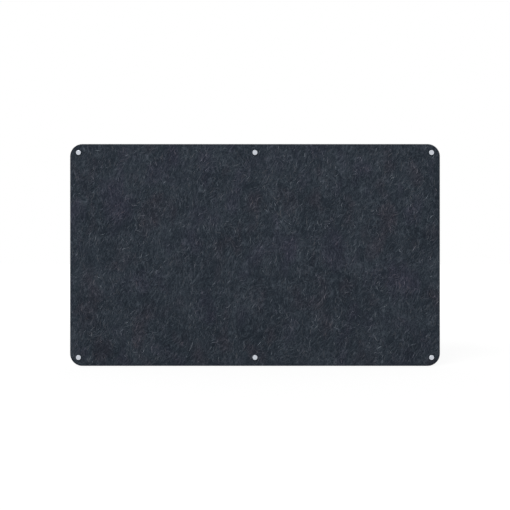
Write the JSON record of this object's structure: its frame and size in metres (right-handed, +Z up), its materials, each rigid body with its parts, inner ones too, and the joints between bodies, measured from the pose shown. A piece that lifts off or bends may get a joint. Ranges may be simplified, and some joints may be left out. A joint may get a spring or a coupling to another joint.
{
  "type": "pinboard",
  "caption": "Wide rigid felt pinboard with rounded corners, held off the wall on round stand-off fixings whose caps unscrew by hand.",
  "frame": {"origin": "centre of the board in the plane of the wall, midway between the six fixings", "axes": "+X to the right along the board's width, +Z up, the board faces -Y and the wall is the plane y = 0"},
  "size_m": [1.5, 0.0787, 0.9],
  "materials": {
    "felt": "matte",
    "anodised_aluminium": "satin",
    "rubber": "matte",
    "zinc_plated_steel": "satin",
    "nylon": "matte"
  },
  "bodies": {
    "board": {"felt_panel": "felt", "wall_plug_top_left": "nylon", "wall_screw_top_left": "zinc_plated_steel", "standoff_barrel_top_left": "anodised_aluminium", "rear_washer_top_left": "rubber", "wall_plug_top_middle": "nylon", "wall_screw_top_middle": "zinc_plated_steel", "standoff_barrel_top_middle": "anodised_aluminium", "rear_washer_top_middle": "rubber", "wall_plug_top_right": "nylon", "wall_screw_top_right": "zinc_plated_steel", "standoff_barrel_top_right": "anodised_aluminium", "rear_washer_top_right": "rubber", "wall_plug_bottom_left": "nylon", "wall_screw_bottom_left": "zinc_plated_steel", "standoff_barrel_bottom_left": "anodised_aluminium", "rear_washer_bottom_left": "rubber", "wall_plug_bottom_middle": "nylon", "wall_screw_bottom_middle": "zinc_plated_steel", "standoff_barrel_bottom_middle": "anodised_aluminium", "rear_washer_bottom_middle": "rubber", "wall_plug_bottom_right": "nylon", "wall_screw_bottom_right": "zinc_plated_steel", "standoff_barrel_bottom_right": "anodised_aluminium", "rear_washer_bottom_right": "rubber"},
    "front_washer_top_left": {"front_washer_top_left": "rubber"},
    "cap_top_left": {"cap_top_left": "anodised_aluminium"},
    "front_washer_top_middle": {"front_washer_top_middle": "rubber"},
    "cap_top_middle": {"cap_top_middle": "anodised_aluminium"},
    "front_washer_top_right": {"front_washer_top_right": "rubber"},
    "cap_top_right": {"cap_top_right": "anodised_aluminium"},
    "front_washer_bottom_left": {"front_washer_bottom_left": "rubber"},
    "cap_bottom_left": {"cap_bottom_left": "anodised_aluminium"},
    "front_washer_bottom_middle": {"front_washer_bottom_middle": "rubber"},
    "cap_bottom_middle": {"cap_bottom_middle": "anodised_aluminium"},
    "front_washer_bottom_right": {"front_washer_bottom_right": "rubber"},
    "cap_bottom_right": {"cap_bottom_right": "anodised_aluminium"}
  },
  "joints": [
    {"name": "cap_top_left_travel", "type": "slide", "parent": "board", "child": "front_washer_top_left", "axis": [0, -1, 0], "range_m": [0, 0.01]},
    {"name": "cap_top_left_turn", "type": "hinge", "parent": "front_washer_top_left", "child": "cap_top_left", "pos_m": [-0.715, -0.0365, 0.415], "axis": [0, -1, 0], "range_deg": [0, 2400]},
    {"name": "cap_top_middle_travel", "type": "slide", "parent": "board", "child": "front_washer_top_middle", "axis": [0, -1, 0], "range_m": [0, 0.01]},
    {"name": "cap_top_middle_turn", "type": "hinge", "parent": "front_washer_top_middle", "child": "cap_top_middle", "pos_m": [0, -0.0365, 0.415], "axis": [0, -1, 0], "range_deg": [0, 2400]},
    {"name": "cap_top_right_travel", "type": "slide", "parent": "board", "child": "front_washer_top_right", "axis": [0, -1, 0], "range_m": [0, 0.01]},
    {"name": "cap_top_right_turn", "type": "hinge", "parent": "front_washer_top_right", "child": "cap_top_right", "pos_m": [0.715, -0.0365, 0.415], "axis": [0, -1, 0], "range_deg": [0, 2400]},
    {"name": "cap_bottom_left_travel", "type": "slide", "parent": "board", "child": "front_washer_bottom_left", "axis": [0, -1, 0], "range_m": [0, 0.01]},
    {"name": "cap_bottom_left_turn", "type": "hinge", "parent": "front_washer_bottom_left", "child": "cap_bottom_left", "pos_m": [-0.715, -0.0365, -0.415], "axis": [0, -1, 0], "range_deg": [0, 2400]},
    {"name": "cap_bottom_middle_travel", "type": "slide", "parent": "board", "child": "front_washer_bottom_middle", "axis": [0, -1, 0], "range_m": [0, 0.01]},
    {"name": "cap_bottom_middle_turn", "type": "hinge", "parent": "front_washer_bottom_middle", "child": "cap_bottom_middle", "pos_m": [0, -0.0365, -0.415], "axis": [0, -1, 0], "range_deg": [0, 2400]},
    {"name": "cap_bottom_right_travel", "type": "slide", "parent": "board", "child": "front_washer_bottom_right", "axis": [0, -1, 0], "range_m": [0, 0.01]},
    {"name": "cap_bottom_right_turn", "type": "hinge", "parent": "front_washer_bottom_right", "child": "cap_bottom_right", "pos_m": [0.715, -0.0365, -0.415], "axis": [0, -1, 0], "range_deg": [0, 2400]}
  ],
  "couplings": [
    {"joint": "cap_top_left_travel", "follows": "cap_top_left_turn", "m_per_rad": 0.00023873},
    {"joint": "cap_top_middle_travel", "follows": "cap_top_middle_turn", "m_per_rad": 0.00023873},
    {"joint": "cap_top_right_travel", "follows": "cap_top_right_turn", "m_per_rad": 0.00023873},
    {"joint": "cap_bottom_left_travel", "follows": "cap_bottom_left_turn", "m_per_rad": 0.00023873},
    {"joint": "cap_bottom_middle_travel", "follows": "cap_bottom_middle_turn", "m_per_rad": 0.00023873},
    {"joint": "cap_bottom_right_travel", "follows": "cap_bottom_right_turn", "m_per_rad": 0.00023873}
  ]
}
